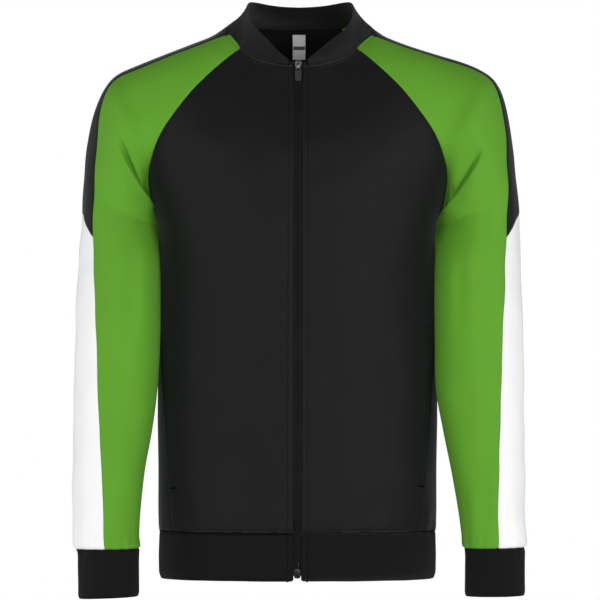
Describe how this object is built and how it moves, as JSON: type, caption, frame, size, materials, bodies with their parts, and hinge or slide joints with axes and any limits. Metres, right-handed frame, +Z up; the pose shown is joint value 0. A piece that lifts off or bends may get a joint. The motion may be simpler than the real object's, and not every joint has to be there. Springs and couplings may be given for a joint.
{
  "type": "track jacket",
  "caption": "Full-zip raglan track jacket with a rib collar, cuffs and hem band, green sleeves with a black and white outer stripe, and slanted side pockets.",
  "frame": {"origin": "middle of the neck opening at the height of the shoulder-neck point, where the wearer's shoulders hold the jacket up", "axes": "+Z up, the front faces -Y, the wearer's left is +X"},
  "size_m": [0.568, 0.254, 0.7522],
  "materials": {
    "black_cloth": "smooth matt tricot knit",
    "green_cloth": "smooth matt tricot knit",
    "white_cloth": "smooth matt tricot knit",
    "black_rib": "fine rib knit",
    "black_tape": "woven tape",
    "label_cloth": "satin woven, blank",
    "zip_metal": "plated, satin",
    "pull_rubber": "matt moulded"
  },
  "bodies": {
    "root": {"front_left": "black_cloth", "front_right": "black_cloth", "pocket_side_left": "black_cloth", "pocket_side_right": "black_cloth", "back": "black_cloth", "sleeve_front_left": "green_cloth", "sleeve_front_right": "green_cloth", "sleeve_back_left": "green_cloth", "sleeve_back_right": "green_cloth", "stripe_upper_left": "black_cloth", "stripe_upper_right": "black_cloth", "stripe_lower_left": "white_cloth", "stripe_lower_right": "white_cloth", "collar": "black_rib", "cuff_left": "black_rib", "cuff_right": "black_rib", "hem_band": "black_rib", "zip_tape_left": "black_tape", "zip_tape_right": "black_tape", "slider": "zip_metal", "retainer_box": "zip_metal", "neck_tape": "black_tape", "label": "label_cloth"},
    "pull": {"pull_tab": "pull_rubber"}
  },
  "joints": [
    {"name": "pull_hinge", "type": "hinge", "parent": "root", "child": "pull", "pos_m": [-0.00042, -0.07671, -0.05467], "axis": [-1, 0, 0], "range_deg": [0, 150]}
  ]
}
